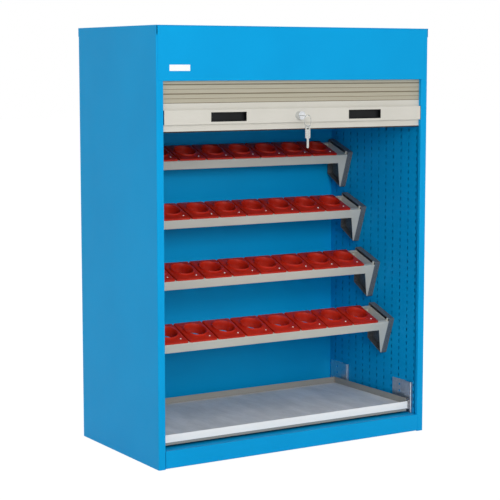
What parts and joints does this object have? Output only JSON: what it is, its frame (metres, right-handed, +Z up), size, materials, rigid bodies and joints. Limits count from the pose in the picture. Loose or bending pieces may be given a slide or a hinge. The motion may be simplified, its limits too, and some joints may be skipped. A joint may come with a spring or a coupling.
{
  "type": "roll front tool cabinet",
  "caption": "Tall steel cabinet with a slatted shutter that slides down over tilted shelves of round tool seats and a pull-out tray.",
  "frame": {"origin": "middle of the underside of the cabinet's base, on the floor", "axes": "+X to the right seen from the front, +Y into the cabinet, +Z up"},
  "size_m": [1.09, 0.6448, 1.45],
  "materials": {
    "blue_enamel": "satin",
    "curtain_aluminium": "satin",
    "rail_enamel": "satin",
    "black_plastic": "moulded",
    "seal_rubber": "matte",
    "lock_chrome": "polished",
    "zinc_steel": "zinc plated",
    "grey_enamel": "satin",
    "bracket_iron": "satin",
    "red_plastic": "moulded",
    "tray_enamel": "satin",
    "liner_zinc": "zinc",
    "white_enamel": "gloss"
  },
  "bodies": {
    "cabinet": {"back_panel": "blue_enamel", "base_pan": "blue_enamel", "bracket_left_1": "bracket_iron", "bracket_left_2": "bracket_iron", "bracket_left_3": "bracket_iron", "bracket_left_4": "bracket_iron", "bracket_right_1": "bracket_iron", "bracket_right_2": "bracket_iron", "bracket_right_3": "bracket_iron", "bracket_right_4": "bracket_iron", "drum_axle": "zinc_steel", "drum_cheeks": "zinc_steel", "drum_spring": "zinc_steel", "floor_panel": "blue_enamel", "front_fascia": "blue_enamel", "inserts_1": "red_plastic", "inserts_2": "red_plastic", "inserts_3": "red_plastic", "inserts_4": "red_plastic", "lock_keepers": "zinc_steel", "perforated_wall_left": "blue_enamel", "perforated_wall_right": "blue_enamel", "plinth": "blue_enamel", "shelf_frame_1": "grey_enamel", "shelf_frame_2": "grey_enamel", "shelf_frame_3": "grey_enamel", "shelf_frame_4": "grey_enamel", "shutter_guide_left": "blue_enamel", "shutter_guide_right": "blue_enamel", "side_panel_left": "blue_enamel", "side_panel_right": "blue_enamel", "slide_fixed_left": "zinc_steel", "slide_fixed_right": "zinc_steel", "top_cover": "blue_enamel", "tray_hangers": "zinc_steel"},
    "shutter": {"bottom_seal": "seal_rubber", "curtain_1": "curtain_aluminium", "grips": "black_plastic", "lock_housing": "lock_chrome", "rail_caps": "black_plastic", "shutter_rail": "rail_enamel"},
    "section_2": {"curtain_2": "curtain_aluminium"},
    "section_3": {"curtain_3": "curtain_aluminium"},
    "section_4": {"curtain_4": "curtain_aluminium"},
    "section_5": {"curtain_5": "curtain_aluminium"},
    "drum": {"drum_hubs": "zinc_steel", "drum_tube": "zinc_steel"},
    "plug": {"key": "lock_chrome", "lock_cam": "zinc_steel", "lock_plug": "lock_chrome"},
    "ring": {"key_ring": "lock_chrome"},
    "bar_left": {"lock_bar_left": "zinc_steel"},
    "bar_right": {"lock_bar_right": "zinc_steel"},
    "tray": {"slide_inners": "zinc_steel", "tray_liner": "liner_zinc", "tray_pan": "tray_enamel", "tray_strip": "white_enamel"},
    "slide_middles": {"slide_middle_left": "zinc_steel", "slide_middle_right": "zinc_steel"},
    "spare": {"spare_key": "lock_chrome"}
  },
  "joints": [
    {"name": "shutter_slide", "type": "slide", "parent": "cabinet", "child": "shutter", "axis": [0, 0, -1], "range_m": [0, 1.0435]},
    {"name": "section_2_slide", "type": "slide", "parent": "cabinet", "child": "section_2", "axis": [0, 0, -1], "range_m": [0, 0.824]},
    {"name": "section_3_slide", "type": "slide", "parent": "cabinet", "child": "section_3", "axis": [0, 0, -1], "range_m": [0, 0.604]},
    {"name": "section_4_slide", "type": "slide", "parent": "cabinet", "child": "section_4", "axis": [0, 0, -1], "range_m": [0, 0.384]},
    {"name": "section_5_slide", "type": "slide", "parent": "cabinet", "child": "section_5", "axis": [0, 0, -1], "range_m": [0, 0.164]},
    {"name": "drum_spin", "type": "hinge", "parent": "cabinet", "child": "drum", "pos_m": [0, -0.1665, 1.36], "axis": [1, 0, 0], "range_deg": [0, 1316.3]},
    {"name": "key_turn", "type": "hinge", "parent": "shutter", "child": "plug", "pos_m": [0, -0.2865, 1.154], "axis": [0, 1, 0], "range_deg": [0, 92]},
    {"name": "bar_left_slide", "type": "slide", "parent": "shutter", "child": "bar_left", "axis": [-1, 0, 0], "range_m": [0, 0.01]},
    {"name": "bar_right_slide", "type": "slide", "parent": "shutter", "child": "bar_right", "axis": [1, 0, 0], "range_m": [0, 0.0101]},
    {"name": "ring_swing", "type": "hinge", "parent": "plug", "child": "ring", "pos_m": [0, -0.3375, 1.154], "axis": [0, 1, 0], "range_deg": [-20, 20]},
    {"name": "spare_key_swing", "type": "hinge", "parent": "ring", "child": "spare", "pos_m": [0, -0.3375, 1.1132], "axis": [0, 1, 0], "range_deg": [-25, 25]},
    {"name": "tray_slide", "type": "slide", "parent": "cabinet", "child": "tray", "axis": [0, 1, 0], "range_m": [-0.45, 0]},
    {"name": "slide_middles_slide", "type": "slide", "parent": "cabinet", "child": "slide_middles", "axis": [0, 1, 0], "range_m": [-0.2255, 0]}
  ],
  "couplings": [
    {"joint": "section_2_slide", "follows": "shutter_slide", "ratio": 0.78917},
    {"joint": "section_3_slide", "follows": "shutter_slide", "ratio": 0.57834},
    {"joint": "section_4_slide", "follows": "shutter_slide", "ratio": 0.36751},
    {"joint": "section_5_slide", "follows": "shutter_slide", "ratio": 0.15668},
    {"joint": "drum_spin", "follows": "shutter_slide", "rad_per_m": 22},
    {"joint": "key_turn", "follows": "bar_left_slide", "rad_per_m": 157.08},
    {"joint": "bar_right_slide", "follows": "bar_left_slide", "ratio": 1},
    {"joint": "slide_middles_slide", "follows": "tray_slide", "ratio": 0.5}
  ]
}
